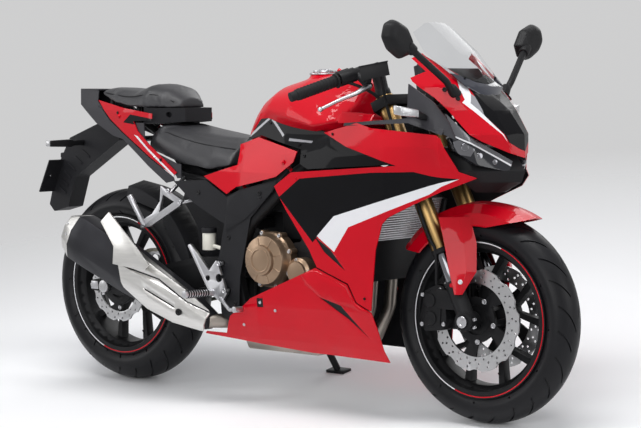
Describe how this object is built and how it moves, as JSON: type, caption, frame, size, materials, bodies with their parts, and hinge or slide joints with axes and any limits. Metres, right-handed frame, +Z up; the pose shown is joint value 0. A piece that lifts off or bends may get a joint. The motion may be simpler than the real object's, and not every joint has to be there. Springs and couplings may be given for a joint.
{
  "type": "sport motorcycle",
  "caption": "Fully faired sport motorcycle leaning on its side stand, with turning wheels, steering, a folding stand and a hinged fuel cap.",
  "frame": {"origin": "middle of the bounding box in plan, on the ground under the bike", "axes": "+X points to the front of the bike along its length, +Y to its left, +Z up from the ground; the bike leans 10 degrees to its left"},
  "size_m": [2.0803, 0.8156, 1.1896],
  "materials": {
    "bare_aluminium": "satin",
    "black_aluminium": "satin",
    "black_plastic": "matte",
    "black_steel": "satin",
    "bronze_cover": "satin",
    "chrome": "polished",
    "clear_screen": "clear",
    "engine_black": "satin",
    "exhaust_steel": "satin",
    "gold_aluminium": "satin",
    "grey_plastic": "matte",
    "indicator_lens": "gloss",
    "lamp_lens": "clear",
    "muffler_grey": "satin",
    "red_plastic": "gloss",
    "red_steel": "gloss",
    "rubber": "matte",
    "seat_vinyl": "matte",
    "shield_steel": "satin",
    "steel": "satin",
    "tail_lens": "gloss",
    "tyre": "matte",
    "white_plastic": "matte"
  },
  "bodies": {
    "chassis": {"main_frame": "black_steel", "engine_block": "engine_black", "engine_covers": "bronze_cover", "intake_box": "black_plastic", "radiator": "bare_aluminium", "exhaust_pipes": "exhaust_steel", "muffler": "muffler_grey", "muffler_cap": "shield_steel", "muffler_shield": "shield_steel", "fuel_tank": "red_steel", "tank_trim": "black_plastic", "seats": "seat_vinyl", "seat_bracket": "black_plastic", "side_fairings": "red_plastic", "lower_fairings": "red_plastic", "upper_cowl": "red_plastic", "windscreen": "clear_screen", "headlights": "lamp_lens", "nose_duct": "black_plastic", "inner_panels": "grey_plastic", "tail_panels": "red_plastic", "tail_cover": "grey_plastic", "tail_light": "tail_lens", "side_covers": "red_plastic", "frame_covers": "black_plastic", "plate_hanger": "black_plastic", "indicators": "indicator_lens", "mirrors": "black_plastic", "instrument_panel": "black_plastic", "footrests": "bare_aluminium", "swingarm": "black_aluminium", "rear_axle": "steel", "rear_shock": "black_steel", "drive_chain": "steel", "rear_hugger": "black_plastic", "rear_caliper": "black_aluminium", "brake_reservoir": "white_plastic"},
    "steering": {"triple_clamps": "black_aluminium", "fork_tubes": "gold_aluminium", "fork_stanchions": "chrome", "fork_feet": "black_aluminium", "front_axle": "steel", "handlebars": "black_aluminium", "grips": "rubber", "bar_controls": "black_plastic", "levers": "bare_aluminium", "front_fender": "red_plastic", "front_calipers": "black_aluminium"},
    "front_wheel": {"front_tyre": "tyre", "front_rim": "black_aluminium", "front_discs": "steel"},
    "rear_wheel": {"rear_tyre": "tyre", "rear_rim": "black_aluminium", "rear_disc": "steel", "rear_sprocket": "steel"},
    "side_stand": {"side_stand": "black_steel"},
    "fuel_cap": {"fuel_cap": "bare_aluminium"}
  },
  "joints": [
    {"name": "steering_turn", "type": "hinge", "parent": "chassis", "child": "steering", "pos_m": [0.46082, -0.02285, 0.78854], "axis": [-0.4303, 0.1567, 0.889], "range_deg": [-34, 34]},
    {"name": "front_wheel_spin", "type": "hinge", "parent": "steering", "child": "front_wheel", "pos_m": [0.74015, -0.10962, 0.29638], "axis": [0, 0.9848, -0.1736], "continuous": true},
    {"name": "rear_wheel_spin", "type": "hinge", "parent": "chassis", "child": "rear_wheel", "pos_m": [-0.66985, -0.10754, 0.30851], "axis": [0, 0.9848, -0.1736], "continuous": true},
    {"name": "side_stand_fold", "type": "hinge", "parent": "chassis", "child": "side_stand", "pos_m": [-0.07387, 0.06464, 0.19069], "axis": [0.2408, 0.9246, 0.2953], "range_deg": [0, 109]},
    {"name": "fuel_cap_open", "type": "hinge", "parent": "chassis", "child": "fuel_cap", "pos_m": [0.1833, 0.01254, 0.98932], "axis": [0, 0.9848, -0.1736], "range_deg": [0, 100]}
  ]
}
